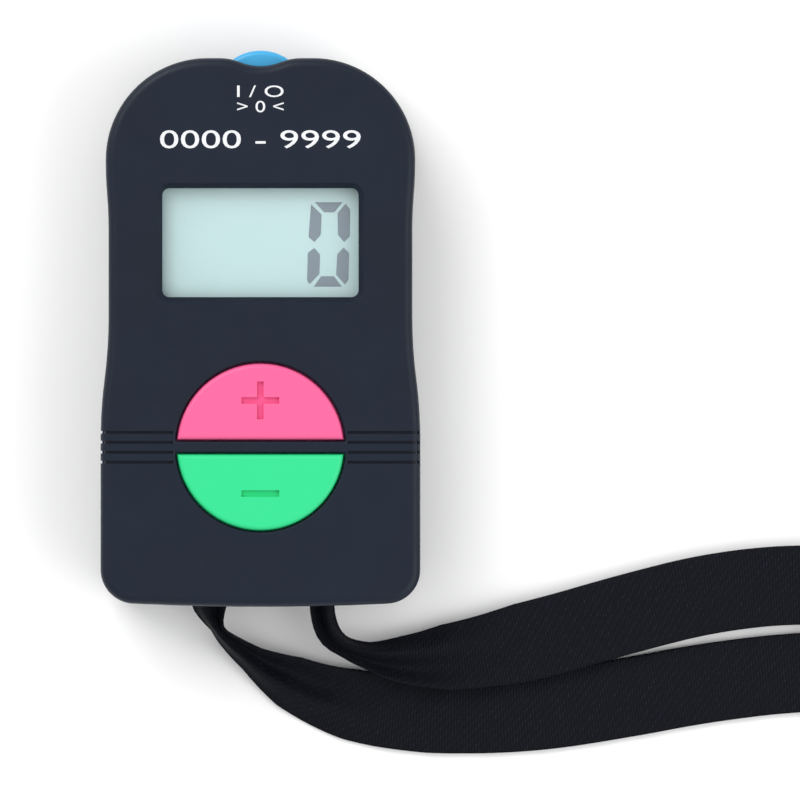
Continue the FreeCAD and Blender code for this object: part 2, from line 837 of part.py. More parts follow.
def reset_switch():
    """A side-push tact switch: moulded base, steel cover, plunger and legs."""
    middle_y = "(switch_low_y + switch_high_y) / 2"
    depth = "switch_high_y - switch_low_y"
    floor = "board_z + board_thick"
    base = plate(
        "reset_switch_base", "0", middle_y, "2 * switch_half_width", depth, floor, f"switch_top_z - ({floor})"
    )
    pit = new_sketch(base, "XZ_Plane", "-switch_high_y")
    add_circle(pit, "0", "reset_z", "plunger_radius + plunger_clearance")
    cut(base, pit, "switch_high_y - switch_pit_y", ahead=True)
    finish(base)

    cover = new_body("reset_switch_cover")
    face = new_sketch(cover, "XZ_Plane", "-switch_high_y")
    tall = f"switch_top_z - ({floor})"
    add_outline(face, box_corners("0", f"({floor}) + ({tall}) / 2", "2 * switch_half_width", tall))
    add_circle(face, "0", "reset_z", "plunger_radius + plunger_clearance")
    grow(cover, face, "switch_cover_thick", backwards=True)
    finish(cover)

    plunger = new_body("reset_switch_plunger")
    disc = new_sketch(plunger, "XZ_Plane", "-plunger_low_y")
    add_circle(disc, "0", "reset_z", "plunger_radius")
    grow(plunger, disc, "plunger_high_y - plunger_low_y", backwards=True)
    finish(plunger)

    legs = new_body("reset_switch_legs")
    feet = new_sketch(legs, "XY_Plane", "leg_end_z")
    for side in ("", "-"):
        add_circle(feet, f"{side}leg_x", middle_y, "leg_radius")
    grow(legs, feet, f"{floor} - leg_end_z")
    finish(legs)


# ---------------------------------------------------------------- cell, door and contacts


def button_cell():
    body = new_body("button_cell")
    section = new_sketch(body, "XZ_Plane", "0")
    can_top = "cell_low_z + cell_height - cell_cap_height"
    corners = [
        ("0", "cell_low_z"),
        ("cell_radius - cell_round", "cell_low_z", "cell_round"),
        ("cell_radius", "cell_low_z + cell_round"),
        ("cell_radius", f"{can_top} - cell_round", "cell_round"),
        ("cell_radius - cell_round", can_top),
        ("cell_cap_radius", can_top),
        ("cell_cap_radius", "cell_low_z + cell_height"),
        ("0", "cell_low_z + cell_height"),
    ]
    add_outline(section, corners)
    spin(body, section)
    body.setExpression("Placement.Base.y", bound("display_y"))
    return finish(body)


def battery_door():
    body = new_body("battery_door")
    disc = new_sketch(body, "XY_Plane", "door_low_z")
    add_circle(disc, "0", "display_y", "door_radius")
    grow(body, disc, "door_high_z - door_low_z")
    lugs = new_sketch(body, "XY_Plane", "lug_low_z")
    add_outline(lugs, lug_bar("lug_radius", "lug_half_width", "0"))
    grow(body, lugs, "door_high_z - lug_low_z")
    slot = new_sketch(body, "XY_Plane", "door_low_z")
    add_outline(slot, box_corners("0", "display_y", "coin_slot_length", "coin_slot_width"))
    cut(body, slot, "coin_slot_depth", ahead=True)
    return finish(body)


def strip(name, corners):
    """A bent metal strip: its edge seen from the side, as wide as the contacts are."""
    body = new_body(name)
    section = new_sketch(body, "YZ_Plane", "0")
    add_outline(section, corners)
    grow(body, section, "2 * contact_half_width", both_ways=True)
    return finish(body)


def contacts():
    """The strip beside the can, and the leaf on the cap, both soldered under the board."""
    inner = "display_y + cell_radius"
    outer = f"{inner} + contact_thick"
    strip(
        "cell_contact_plus",
        [
            (inner, "track_top_z + 0.6"),
            (outer, "track_top_z + 0.6"),
            (outer, "board_z - contact_thick"),
            (f"{outer} + 2.6", "board_z - contact_thick"),
            (f"{outer} + 2.6", "board_z"),
            (inner, "board_z"),
        ],
    )
    touch = "cell_low_z + cell_height"
    strip(
        "cell_contact_minus",
        [
            ("display_y - 7.6", "board_z - contact_thick"),
            ("display_y - 5.2", "board_z - contact_thick"),
            ("display_y - 1.2", touch),
            ("display_y + 1.2", touch),
            ("display_y + 1.2", f"{touch} + contact_thick"),
            ("display_y - 1.2", f"{touch} + contact_thick"),
            ("display_y - 5.0", "board_z"),
            ("display_y - 7.6", "board_z"),
        ],
    )


# ---------------------------------------------------------------- screws


def screw_group(name, places, low, head_top, head, shank, tip):
    """Equal screws, heads down, with a cross recess in each head."""
    body = new_body(name)
    heads = new_sketch(body, "XY_Plane", low)
    shanks = new_sketch(body, "XY_Plane", low)
    slots = new_sketch(body, "XY_Plane", low)
    cross = new_sketch(body, "XY_Plane", low)
    for x, y in places:
        add_circle(heads, x, y, head)
        add_circle(shanks, x, y, shank)
        add_outline(slots, box_corners(x, y, f"1.2 * ({head})", f"0.3 * ({head})"))
        add_outline(cross, box_corners(x, y, f"0.3 * ({head})", f"1.2 * ({head})"))
    grow(body, heads, f"{head_top} - ({low})")
    grow(body, shanks, f"{tip} - ({low})")
    cut(body, slots, f"({head_top} - ({low})) / 2", ahead=True)
    cut(body, cross, f"({head_top} - ({low})) / 2", ahead=True)
    return finish(body)


def screws():
    head = ("head_low_z", "head_high_z", "head_radius")
    screw_group("case_screws", screw_places(), *head, "screw_radius", "screw_end_z")
    board_places = [(f"{side}board_screw_x", "board_screw_y") for side in ("", "-")]
    screw_group(
        "board_screws",
        board_places,
        "board_z - board_head_height",
        "board_z",
        "board_head_radius",
        "board_screw_radius",
        "board_screw_end_z",
    )


# ---------------------------------------------------------------- ribbon

# where the middle of the ribbon goes, from the pegs out to the coil: hand-set points
LEFT_ROUTE = [
    (-7.3, -36.8, 6.0),
    (-7.1, -40.8, 5.3),
    (-3.1, -44.6, 2.6),
    (3.6, -49.0, 1.2),
    (12.3, -52.4, 0.6),
    (23.0, -53.5, 0.5),
    (37.0, -53.3, 0.5),
    (50.0, -51.3, 0.5),
    (62.0, -49.0, 0.5),
    (76.0, -47.4, 0.5),
    (90.0, -47.6, 0.5),
    (104.0, -49.6, 0.5),
]
RIGHT_ROUTE = [
    (8.4, -36.8, 6.0),
    (8.3, -41.2, 5.7),
    (11.6, -44.5, 4.4),
    (18.2, -46.1, 3.1),
    (28.0, -45.4, 2.1),
    (39.0, -42.9, 1.8),
    (51.0, -39.4, 1.8),
    (63.0, -36.4, 1.8),
    (76.0, -35.2, 1.8),
    (90.0, -36.6, 1.8),
    (104.0, -40.4, 1.8),
]
NECK_POINTS = 4
ARC_SHARE = 0.45


def rounded_path(points, name):
    """Straight runs joined by arcs that are as large as the runs allow."""
    corners = [Vector(*point) for point in points]
    edges = []
    here = corners[0]
    radii = []
    for before, corner, after in zip(corners, corners[1:], corners[2:]):
        back, ahead = (before - corner), (after - corner)
        turn = math.pi - back.getAngle(ahead)
        trim = ARC_SHARE * min(back.Length, ahead.Length)
        radius = trim / math.tan(turn / 2)
        radii.append(round(radius, 1))
        start = corner + back.normalize() * trim
        end = corner + ahead.normalize() * trim
        inward = (back + ahead).normalize()
        middle = corner + inward * (radius / math.cos(turn / 2) - radius)
        edges.append(Part.LineSegment(here, start).toShape())
        edges.append(Part.Arc(start, middle, end).toShape())
        here = end
    edges.append(Part.LineSegment(here, corners[-1]).toShape())
    print(name, "bend radii", radii)
    return Part.Wire(edges)


def ribbon(name, points, width, thick):
    """A flat band along a route, its width level all the way."""
    path = rounded_path(points, name)
    start, ahead = Vector(*points[0]), (Vector(*points[1]) - Vector(*points[0])).normalize()
    across = ahead.cross(Vector(0, 0, 1)).normalize()
    up = across.cross(ahead).normalize()
    corners = [
        start + across * (width / 2 * a) + up * (thick / 2 * b)
        for a, b in ((-1, -1), (1, -1), (1, 1), (-1, 1))
    ]
    pipe = Part.BRepOffsetAPI.MakePipeShell(path)
    pipe.setBiNormalMode(Vector(0, 0, 1))
    pipe.add(Part.makePolygon(corners + corners[:1]))
    pipe.build()
    pipe.makeSolid()
    part = doc.addObject("Part::Feature", name)
    part.Shape = pipe.shape()
    part.Placement = FreeCAD.Placement()
    share = part.Shape.Volume / (width * thick * path.Length)
    print(name, "length", round(path.Length, 1), "volume against section times length", round(share, 3))
    return finish(part)


def halfway(points, number):
    """The point half-way between two points of a route."""
    first, second = Vector(*points[number]), Vector(*points[number + 1])
    return tuple((first + second) * 0.5)


def lanyard():
    for side, route in (("left", LEFT_ROUTE), ("right", RIGHT_ROUTE)):
        join = halfway(route, NECK_POINTS - 1)
        neck = route[:NECK_POINTS] + [join]
        band = [join] + route[NECK_POINTS:]
        ribbon(f"lanyard_neck_{side}", neck, value(f"{side}_neck_width"), value(f"{side}_neck_thick"))
        ribbon(f"lanyard_band_{side}", band, value("ribbon_width"), value("ribbon_thick"))
        tab = plate(
            f"lanyard_tab_{side}",
            f"{side}_slot_x",
            "(tab_low_y + tab_high_y) / 2",
            "tab_width",
            "tab_high_y - tab_low_y",
            "seam_z - tab_thick / 2",
            "tab_thick",
        )
        hole = new_sketch(tab, "XY_Plane", "seam_z")
        add_circle(hole, f"{side}_slot_x", "peg_y", "peg_radius + 0.1")
        cut(tab, hole, "2 * tab_thick", both_ways=True)
        finish(tab)


def lanyard_coil():
    """The rest of the ribbon, rolled up on edge: a ring with its lead-in."""
    body = new_body("lanyard_coil")
    disc = new_sketch(body, "XY_Plane", "0")
    add_circle(disc, "coil_x", "coil_y", "coil_outer")
    grow(body, disc, "coil_height")
    lead = new_sketch(body, "XY_Plane", "0")
    add_outline(
        lead,
        [
            ("lead_x", "lead_low_y"),
            ("coil_x", "coil_y - coil_outer"),
            ("coil_x", "coil_y - coil_inner"),
            ("coil_x - coil_outer / 2", "coil_y - coil_inner"),
            ("lead_x", "lead_high_y"),
        ],
    )
    grow(body, lead, "coil_height")
    hole = new_sketch(body, "XY_Plane", "0")
    add_circle(hole, "coil_x", "coil_y", "coil_inner")
    cut(body, hole, "coil_height", ahead=True)
    return finish(body)


def check_and_write():
    doc.recompute()
    for thing in doc.Objects:
        if "Invalid" in thing.State or "Error" in thing.State:
            raise RuntimeError(f"{thing.Name} has failed: {thing.State}")
    os.makedirs("parts", exist_ok=True)
    for part in parts:
        if part.Shape.isNull() or not part.Shape.isValid():
            raise RuntimeError(f"{part.Label} has no valid shape")
        part.Shape.exportStep(f"parts/{part.Label}.step")
    print(len(parts), "sub-parts written")


front_shell()
back_shell()
display()
circuit_board()
chip_parts()
key("plus_key", 1)
key("minus_key", -1)
keypad_web()
dome("plus_dome", 1)
dome("minus_dome", -1)
pill("plus_pill", 1)
pill("minus_pill", -1)
reset_key()
reset_switch()
button_cell()
battery_door()
contacts()
screws()
lanyard()
lanyard_coil()
check_and_write()
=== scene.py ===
import math

import bmesh
import bpy
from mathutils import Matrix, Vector


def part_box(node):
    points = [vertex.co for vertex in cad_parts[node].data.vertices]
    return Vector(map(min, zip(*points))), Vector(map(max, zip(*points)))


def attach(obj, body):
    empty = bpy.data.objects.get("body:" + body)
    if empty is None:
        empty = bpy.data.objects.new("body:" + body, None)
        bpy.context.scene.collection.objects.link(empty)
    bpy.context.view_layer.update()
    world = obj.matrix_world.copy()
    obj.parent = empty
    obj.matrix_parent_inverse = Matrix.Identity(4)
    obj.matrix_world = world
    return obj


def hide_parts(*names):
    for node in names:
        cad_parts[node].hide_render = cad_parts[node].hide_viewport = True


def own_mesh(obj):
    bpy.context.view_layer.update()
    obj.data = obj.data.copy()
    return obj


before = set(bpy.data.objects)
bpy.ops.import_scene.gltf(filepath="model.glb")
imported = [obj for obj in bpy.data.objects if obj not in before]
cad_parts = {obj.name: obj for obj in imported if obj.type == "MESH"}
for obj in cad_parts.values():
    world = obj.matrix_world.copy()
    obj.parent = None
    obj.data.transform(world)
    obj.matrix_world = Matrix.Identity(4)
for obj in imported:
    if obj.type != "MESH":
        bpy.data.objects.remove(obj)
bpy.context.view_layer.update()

# A hand tally counter on its back with its ribbon lanyard beside it. Metres, in the CAD's frame.

MM = 0.001
CASE = "case"

FRONT_LOW, FRONT_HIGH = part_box("front_shell")
FRONT_Z = FRONT_HIGH[2]
FILM_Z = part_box("front_polariser")[1][2]
KEY_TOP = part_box("plus_key")[1][2]

RIBBON_WIDTH = 11.0 * MM
RIBBON_THICK = 0.38 * MM
RIBBON_STEP = 1.0 * MM

# from each slot to the coil. The CAD's tubes follow the same points, but stay low at the last two
# of each, where this ribbon rises as it turns on edge.
LEFT_ROUTE = [
    (-0.0073, -0.0368, 0.0060),
    (-0.0071, -0.0408, 0.0053),
    (-0.0031, -0.0446, 0.0026),
    (0.0036, -0.0490, 0.0012),
    (0.0123, -0.0524, 0.0006),
    (0.0230, -0.0535, 0.0005),
    (0.0370, -0.0533, 0.0005),
    (0.0500, -0.0513, 0.0005),
    (0.0620, -0.0490, 0.0005),
    (0.0760, -0.0474, 0.0005),
    (0.0900, -0.0476, 0.0020),
    (0.1040, -0.0496, 0.0050),
]
RIGHT_ROUTE = [
    (0.0084, -0.0368, 0.0060),
    (0.0083, -0.0412, 0.0057),
    (0.0116, -0.0445, 0.0044),
    (0.0182, -0.0461, 0.0031),
    (0.0280, -0.0454, 0.0021),
    (0.0390, -0.0429, 0.0018),
    (0.0510, -0.0394, 0.0018),
    (0.0630, -0.0364, 0.0018),
    (0.0760, -0.0352, 0.0018),
    (0.0900, -0.0366, 0.0024),
    (0.1040, -0.0404, 0.0050),
]
COIL_CENTRE = Vector((0.136, -0.001))
COIL_START = 50.0 * MM
COIL_PITCH = 9.4 * MM
COIL_TURNS = 1.12
COIL_POINTS_PER_TURN = 14
STRAND_GAP = 4.7 * MM
# control points of the coil's end loop, in millimetres from midway between the strands' ends:
# ahead, and across towards the inner strand
END_LOOP = ((8.0, -3.2), (15.0, -2.0), (19.5, 3.5), (16.0, 9.5), (9.0, 9.0), (4.0, 4.5))
ON_EDGE_Z = RIBBON_WIDTH / 2 + 0.15 * MM


# ---------------------------------------------------------------- meshes


def mesh_object(name, points, faces, smooth=True):
    mesh = bpy.data.meshes.new(name)
    mesh.from_pydata([tuple(p) for p in points], [], faces)
    mesh.validate()
    for polygon in mesh.polygons:
        polygon.use_smooth = smooth
    piece = bpy.data.objects.new(name, mesh)
    bpy.context.scene.collection.objects.link(piece)
    return piece


# ---------------------------------------------------------------- camera, light and floor

VIEW_CENTRE = Vector((19.2, -9.85)) * MM
VIEW_WIDTH = 110.0 * MM
CAMERA_HEIGHT = 1.6
LIGHT_AIM = Vector((0.02, -0.01, 0.0))
SKY_STRENGTH = 0.80
FLOOR_REACH = 1.5


def camera():
    data = bpy.data.cameras.new("camera")
    data.sensor_width = 36.0
    data.lens = data.sensor_width * (CAMERA_HEIGHT - FRONT_Z) / VIEW_WIDTH
    data.clip_start = 0.05
    eye = bpy.data.objects.new("camera", data)
    eye.location = (VIEW_CENTRE.x, VIEW_CENTRE.y, CAMERA_HEIGHT)
    bpy.context.scene.collection.objects.link(eye)
    bpy.context.scene.camera = eye


def area_light(name, place, size, power):
    data = bpy.data.lights.new(name, "AREA")
    data.shape = "RECTANGLE"
    data.size, data.size_y = size
    data.energy = power
    lamp = bpy.data.objects.new(name, data)
    lamp.location = place
    direction = LIGHT_AIM - Vector(place)
    lamp.rotation_euler = direction.to_track_quat("-Z", "Y").to_euler()
    bpy.context.scene.collection.objects.link(lamp)


def studio():
    bpy.context.scene.view_settings.view_transform = "Standard"
    world = bpy.data.worlds.new("studio")
    world.use_nodes = True
    background = world.node_tree.nodes["Background"]
    background.inputs["Color"].default_value = (1.0, 1.0, 1.0, 1.0)
    background.inputs["Strength"].default_value = SKY_STRENGTH
    bpy.context.scene.world = world
    area_light("key_light", (-0.45, 0.60, 0.65), (0.7, 0.6), 5.5)
    area_light("fill_light", (0.70, -0.25, 0.60), (0.8, 0.8), 3.6)
    signs = ((-1, -1), (1, -1), (1, 1), (-1, 1))
    corners = [(x * FLOOR_REACH, y * FLOOR_REACH, 0) for x, y in signs]
    floor = mesh_object("floor", corners, [(0, 1, 2, 3)], smooth=False)
    floor.data.materials.append(plain_floor())


# ---------------------------------------------------------------- materials

# the band that most of a noise texture's values lie in
NOISE_LOW, NOISE_HIGH = 0.3, 0.7
# a wave texture's period at scale 1
WAVE_PERIOD = 0.314
# below a key's top: where its painted shade is whole, and where the face's own colour is; the
# painted shade darkens the sign's recess and the rounded rim
PAINTED_SHADE_BELOW, FACE_BELOW = 0.42 * MM, 0.08 * MM


class Recipe:
    """A material under construction: its principled shader and the nodes that feed it."""

    def __init__(self, name):
        self.material = bpy.data.materials.new(name)
        self.material.use_nodes = True
        self.nodes = self.material.node_tree.nodes
        self.links = self.material.node_tree.links
        self.shader = self.nodes["Principled BSDF"]

    def node(self, kind, **settings):
        node = self.nodes.new(kind)
        for key, setting in settings.items():
            setattr(node, key, setting)
        return node

    def join(self, source, target):
        self.links.new(source, target)

    def set(self, **values):
        for socket, number in values.items():
            self.shader.inputs[socket.replace("_", " ")].default_value = number

    def object_space(self):
        return self.node("ShaderNodeTexCoord").outputs["Object"]

    def grain(self, scale, detail=3.0, roughness=0.6, stretch=None, source=None):
        """Noise in the piece's own space, scale per metre."""
        texture = self.node("ShaderNodeTexNoise")
        texture.inputs["Scale"].default_value = scale
        texture.inputs["Detail"].default_value = detail
        texture.inputs["Roughness"].default_value = roughness
        place = source or self.object_space()
        if stretch:
            mapping = self.node("ShaderNodeMapping")
            mapping.inputs["Scale"].default_value = stretch
            self.join(place, mapping.inputs["Vector"])
            place = mapping.outputs["Vector"]
        self.join(place, texture.inputs["Vector"])
        return texture.outputs["Fac"]

    def ramp(self, factor, stops):
        ramp = self.node("ShaderNodeValToRGB")
        elements = ramp.color_ramp.elements
        while len(elements) < len(stops):
            elements.new(0.5)
        for element, (position, colour) in zip(elements, stops):
            element.position = position
            element.color = (*colour, 1.0)
        self.join(factor, ramp.inputs["Fac"])
        return ramp.outputs["Color"]

    def spread(self, factor, low, high):
        """Maps noise onto a range."""
        mapped = self.node("ShaderNodeMapRange")
        mapped.inputs["From Min"].default_value = NOISE_LOW
        mapped.inputs["From Max"].default_value = NOISE_HIGH
        mapped.inputs["To Min"].default_value = low
        mapped.inputs["To Max"].default_value = high
        self.join(factor, mapped.inputs["Value"])
        return mapped.outputs["Result"]

    def colour(self, factor, base, swing):
        """The base colour, from a little darker to a little lighter."""
        dark = tuple(max(channel * (1 - swing), 0.0) for channel in base)
        light = tuple(min(channel * (1 + swing), 1.0) for channel in base)
        shade = self.ramp(factor, [(NOISE_LOW, dark), (NOISE_HIGH, light)])
        self.join(shade, self.shader.inputs["Base Color"])

    def rough(self, factor, low, high):
        self.join(self.spread(factor, low, high), self.shader.inputs["Roughness"])

    def bump(self, height, distance, strength=1.0):
        node = self.node("ShaderNodeBump")
        node.inputs["Strength"].default_value = strength
        node.inputs["Distance"].default_value = distance
        self.join(height, node.inputs["Height"])
        self.join(node.outputs["Normal"], self.shader.inputs["Normal"])

    def maths(self, operation, *terms):
        """The outcome of a maths node, whose terms are numbers or other nodes' outputs."""
        node = self.node("ShaderNodeMath", operation=operation)
        for socket, term in zip(node.inputs, terms):
            if isinstance(term, float):
                socket.default_value = term
            else:
                self.join(term, socket)
        return node.outputs["Value"]


def plain_floor():
    recipe = Recipe("floor")
    recipe.colour(recipe.grain(12.0), (0.93, 0.93, 0.93), 0.01)
    recipe.set(Roughness=0.9, Specular_IOR_Level=0.1)
    return recipe.material


def moulded(name, base, rough=(0.42, 0.55), grain=2600.0, depth=0.012, swing=0.10, **more):
    """Moulded plastic: a fine spark-eroded texture, with broad soft changes of gloss."""
    recipe = Recipe(name)
    recipe.colour(recipe.grain(60.0, 2.0), base, swing)
    recipe.rough(recipe.grain(260.0, 4.0), *rough)
    recipe.bump(recipe.grain(grain, 2.0, 0.5), depth * MM)
    recipe.set(**more)
    return recipe.material


def key_plastic(name, base, painted_shade, top):
    """Moulded key: the face's colour, with painted shade lower down, in the sign and round the rim
    below it.
    """
    recipe = Recipe(name)
    height = recipe.node("ShaderNodeSeparateXYZ")
    recipe.join(recipe.object_space(), height.inputs["Vector"])
    level = recipe.node("ShaderNodeMapRange")
    level.inputs["From Min"].default_value = top - PAINTED_SHADE_BELOW
    level.inputs["From Max"].default_value = top - FACE_BELOW
    recipe.join(height.outputs["Z"], level.inputs["Value"])
    speck = recipe.maths("MULTIPLY_ADD", recipe.grain(300.0, 3.0), 0.12, level.outputs["Result"])
    # painted shade: the colour darkens with depth below the key's top, in the sign's recess and
    # round its rim
    shade = recipe.ramp(speck, [(0.05, painted_shade), (0.95, base)])
    recipe.join(shade, recipe.shader.inputs["Base Color"])
    recipe.rough(recipe.grain(260.0, 4.0), 0.34, 0.44)
    recipe.bump(recipe.grain(1800.0, 2.0, 0.5), 0.006 * MM)
    recipe.set(Specular_IOR_Level=0.3)
    return recipe.material


def metal(name, base, rough=(0.22, 0.38), stretch=(1.0, 14.0, 1.0)):
    """Rolled or turned metal with fine marks along one way."""
    recipe = Recipe(name)
    marks = recipe.grain(900.0, 4.0, 0.6, stretch)
    recipe.colour(marks, base, 0.12)
    recipe.rough(marks, *rough)
    recipe.bump(marks, 0.004 * MM)
    recipe.set(Metallic=1.0)
    return recipe.material


def clear(name, base, alpha, rough=(0.03, 0.06)):
    """Clear sheet: thin enough to look through, with faint rubs in its gloss."""
    recipe = Recipe(name)
    recipe.colour(recipe.grain(90.0), base, 0.03)
    recipe.rough(recipe.grain(700.0, 4.0, 0.7), *rough)
    recipe.set(Alpha=alpha, IOR=1.49)
    return recipe.material


def striped(name, dark, light, pitch):
    """Elastomer connector: carbon and plain layers in turn along its length."""
    recipe = Recipe(name)
    wave = recipe.node("ShaderNodeTexWave", bands_direction="X")
    wave.inputs["Scale"].default_value = 1.0 / (pitch * 20)
    wave.inputs["Distortion"].default_value = 0.0
    recipe.join(recipe.object_space(), wave.inputs["Vector"])
    shade = recipe.ramp(wave.outputs["Fac"], [(0.45, dark), (0.55, light)])
    recipe.join(shade, recipe.shader.inputs["Base Color"])
    recipe.rough(recipe.grain(500.0), 0.6, 0.75)
    recipe.bump(wave.outputs["Fac"], 0.01 * MM)
    return recipe.material


def circuit(name):
    """Solder mask over a weave of glass and a maze of tracks."""
    recipe = Recipe(name)
    cells = recipe.node("ShaderNodeTexBrick")
    cells.inputs["Scale"].default_value = 330.0
    cells.inputs["Mortar Size"].default_value = 0.06
    cells.inputs["Color1"].default_value = (0.012, 0.12, 0.045, 1.0)
    cells.inputs["Color2"].default_value = (0.018, 0.16, 0.055, 1.0)
    cells.inputs["Mortar"].default_value = (0.03, 0.26, 0.10, 1.0)
    recipe.join(recipe.object_space(), cells.inputs["Vector"])
    recipe.join(cells.outputs["Color"], recipe.shader.inputs["Base Color"])
    recipe.rough(recipe.grain(700.0), 0.25, 0.4)
    recipe.bump(cells.outputs["Fac"], 0.02 * MM)
    return recipe.material


def woven(name):
    """Black ribbon: ribs across it and a fine twill between them. The map runs u across the ribbon
    and v along it, both in millimetres."""
    recipe = Recipe(name)
    place = recipe.node("ShaderNodeUVMap", uv_map="weave").outputs["UV"]
    waves = (("Y", 0.40, 1.0), ("X", 0.30, 0.45), ("DIAGONAL", 0.60, 0.35))
    whole = sum(share for _, _, share in waves)
    height = 0.0
    for direction, pitch, share in waves:
        wave = recipe.node("ShaderNodeTexWave", bands_direction=direction)
        wave.inputs["Scale"].default_value = WAVE_PERIOD / pitch
        wave.inputs["Distortion"].default_value = 1.2
        wave.inputs["Detail"].default_value = 2.0
        wave.inputs["Detail Scale"].default_value = 1.5
        recipe.join(place, wave.inputs["Vector"])
        height = recipe.maths("MULTIPLY_ADD", wave.outputs["Fac"], share / whole, height)
    fibres = recipe.grain(2.2, 5.0, 0.7, (1.0, 0.35, 1.0), place)
    # the colour follows the weave's height: painted shade darkens its hollows, and the raised ribs
    # are lighter, partly wear and lint and partly painted highlight
    black, wear_and_light, lint_and_glint = (0.0014, 0.0018, 0.0036), (0.0040, 0.0050, 0.0095), (0.03, 0.034, 0.045)
    mixed = recipe.maths("MULTIPLY", height, fibres)
    shade = recipe.ramp(mixed, [(0.08, black), (0.40, wear_and_light), (0.72, lint_and_glint)])
    recipe.join(shade, recipe.shader.inputs["Base Color"])
    recipe.rough(fibres, 0.5, 0.72)
    recipe.bump(height, 0.09 * MM, 0.8)
    recipe.set(Sheen_Weight=0.03, Sheen_Roughness=0.4, Specular_IOR_Level=0.10)
    return recipe.material


def printed(name, base):
    """Pad-printed ink: slightly uneven cover."""
    recipe = Recipe(name)
    recipe.colour(recipe.grain(2200.0, 3.0), base, 0.12)
    recipe.rough(recipe.grain(900.0), 0.5, 0.7)
    recipe.bump(recipe.grain(3000.0), 0.004 * MM)
    return recipe.material


def polariser(name):
    """The display's front film over its silvered back: pale, with a faint cast towards one side."""
    recipe = Recipe(name)
    fine = recipe.grain(5200.0, 2.0)
    broad = recipe.grain(28.0, 1.0, 0.4)
    both = recipe.maths("MULTIPLY_ADD", fine, 0.25, broad)
    shade = recipe.ramp(both, [(0.45, (0.37, 0.57, 0.58)), (0.8, (0.44, 0.65, 0.66))])
    recipe.join(shade, recipe.shader.inputs["Base Color"])
    recipe.rough(fine, 0.35, 0.5)
    recipe.bump(fine, 0.004 * MM)
    return recipe.material


def make_materials():
    black = (0.0035, 0.0085, 0.0200)
    satin = {"rough": (0.40, 0.52), "grain": 2400.0, "depth": 0.016, "swing": 0.08}
    return {
        "case": moulded("satin_black_plastic", black, **satin, Specular_IOR_Level=0.25),
        "door": moulded("matt_black_plastic", black, (0.5, 0.6), 2000.0, 0.02),
        # each key's second colour is painted shade for its sign's recess and rounded rim
        "pink": key_plastic("pink_key_plastic", (0.84, 0.115, 0.29), (0.78, 0.085, 0.25), KEY_TOP),
        "green": key_plastic(
            "green_key_plastic", (0.026, 0.64, 0.245), (0.012, 0.60, 0.20), KEY_TOP
        ),
        "blue": moulded("blue_key_plastic", (0.04, 0.36, 0.66), (0.32, 0.42), 1800.0, 0.006, 0.03),
        "white": moulded(
            "white_holder_plastic", (0.72, 0.72, 0.70), (0.45, 0.55), 1500.0, 0.01, 0.04
        ),
        "silicone": moulded("keypad_silicone", (0.66, 0.67, 0.65), (0.6, 0.75), 1400.0, 0.01, 0.05),
        "carbon": moulded("carbon_silicone", (0.012, 0.012, 0.013), (0.7, 0.85), 1600.0, 0.02, 0.2),
        "epoxy": moulded("chip_epoxy", (0.006, 0.006, 0.007), (0.18, 0.3), 500.0, 0.02, 0.3),
        "ceramic": moulded(
            "capacitor_ceramic", (0.36, 0.26, 0.16), (0.5, 0.65), 2600.0, 0.01, 0.15
        ),
        "film": moulded("resistor_glaze", (0.012, 0.012, 0.016), (0.2, 0.35), 2200.0, 0.005, 0.2),
        "switch": moulded("switch_plastic", (0.015, 0.015, 0.016), (0.4, 0.55), 2000.0, 0.01, 0.15),
        "steel": metal("stamped_steel", (0.58, 0.58, 0.56)),
        "cell": metal("nickelled_can", (0.66, 0.65, 0.61), (0.16, 0.3), (1.0, 6.0, 1.0)),
        "bronze": metal("nickelled_bronze", (0.62, 0.56, 0.42)),
        "zinc": metal("zinc_screw", (0.52, 0.53, 0.55), (0.3, 0.45), (8.0, 8.0, 1.0)),
        "silver": metal("silvered_film", (0.72, 0.76, 0.74), (0.4, 0.55), (1.0, 1.0, 1.0)),
        "lens": clear("clear_acrylic", (0.95, 0.98, 0.98), 0.10),
        "glass": clear("lcd_glass", (0.80, 0.90, 0.88), 0.35),
        "polariser": polariser("polariser_film"),
        "zebra": striped("zebra_elastomer", (0.02, 0.02, 0.02), (0.46, 0.14, 0.15), 0.18 * MM),
        "board": circuit("solder_mask"),
        "ribbon": woven("woven_ribbon"),
        "ink": printed("white_print", (0.72, 0.73, 0.75)),
        "segment": printed("lcd_segment", (0.030, 0.085, 0.140)),
    }


FINISHES = {
    "front_shell": "case",
    "back_shell": "case",
    "battery_door": "door",
    "display_window": "lens",
    "front_polariser": "polariser",
    "lcd_front_glass": "glass",
    "lcd_rear_glass": "glass",
    "rear_reflector": "silver",
    "zebra_upper": "zebra",
    "zebra_lower": "zebra",
    "lcd_holder": "white",
    "circuit_board": "board",
    "chip_blob": "epoxy",
    "chip_capacitors": "ceramic",
    "chip_resistors": "film",
    "plus_key": "pink",
    "minus_key": "green",
    "reset_key": "blue",
    "keypad_web": "silicone",
    "plus_pill": "carbon",
    "minus_pill": "carbon",
    "reset_switch_base": "switch",
    "reset_switch_plunger": "switch",
    "reset_switch_cover": "steel",
    "reset_switch_legs": "bronze",
    "button_cell": "cell",
    "cell_contact_plus": "bronze",
    "cell_contact_minus": "bronze",
    "case_screws": "zinc",
    "board_screws": "zinc",
    "lanyard_tab_left": "ribbon",
    "lanyard_tab_right": "ribbon",
}


def dress_frame(shop):
    """Gives each CAD node that stays its finish."""
    for node, finish in FINISHES.items():
        piece = bpy.data.objects[node]
        piece.data.materials.clear()
        piece.data.materials.append(shop[finish])


# ---------------------------------------------------------------- ribbon


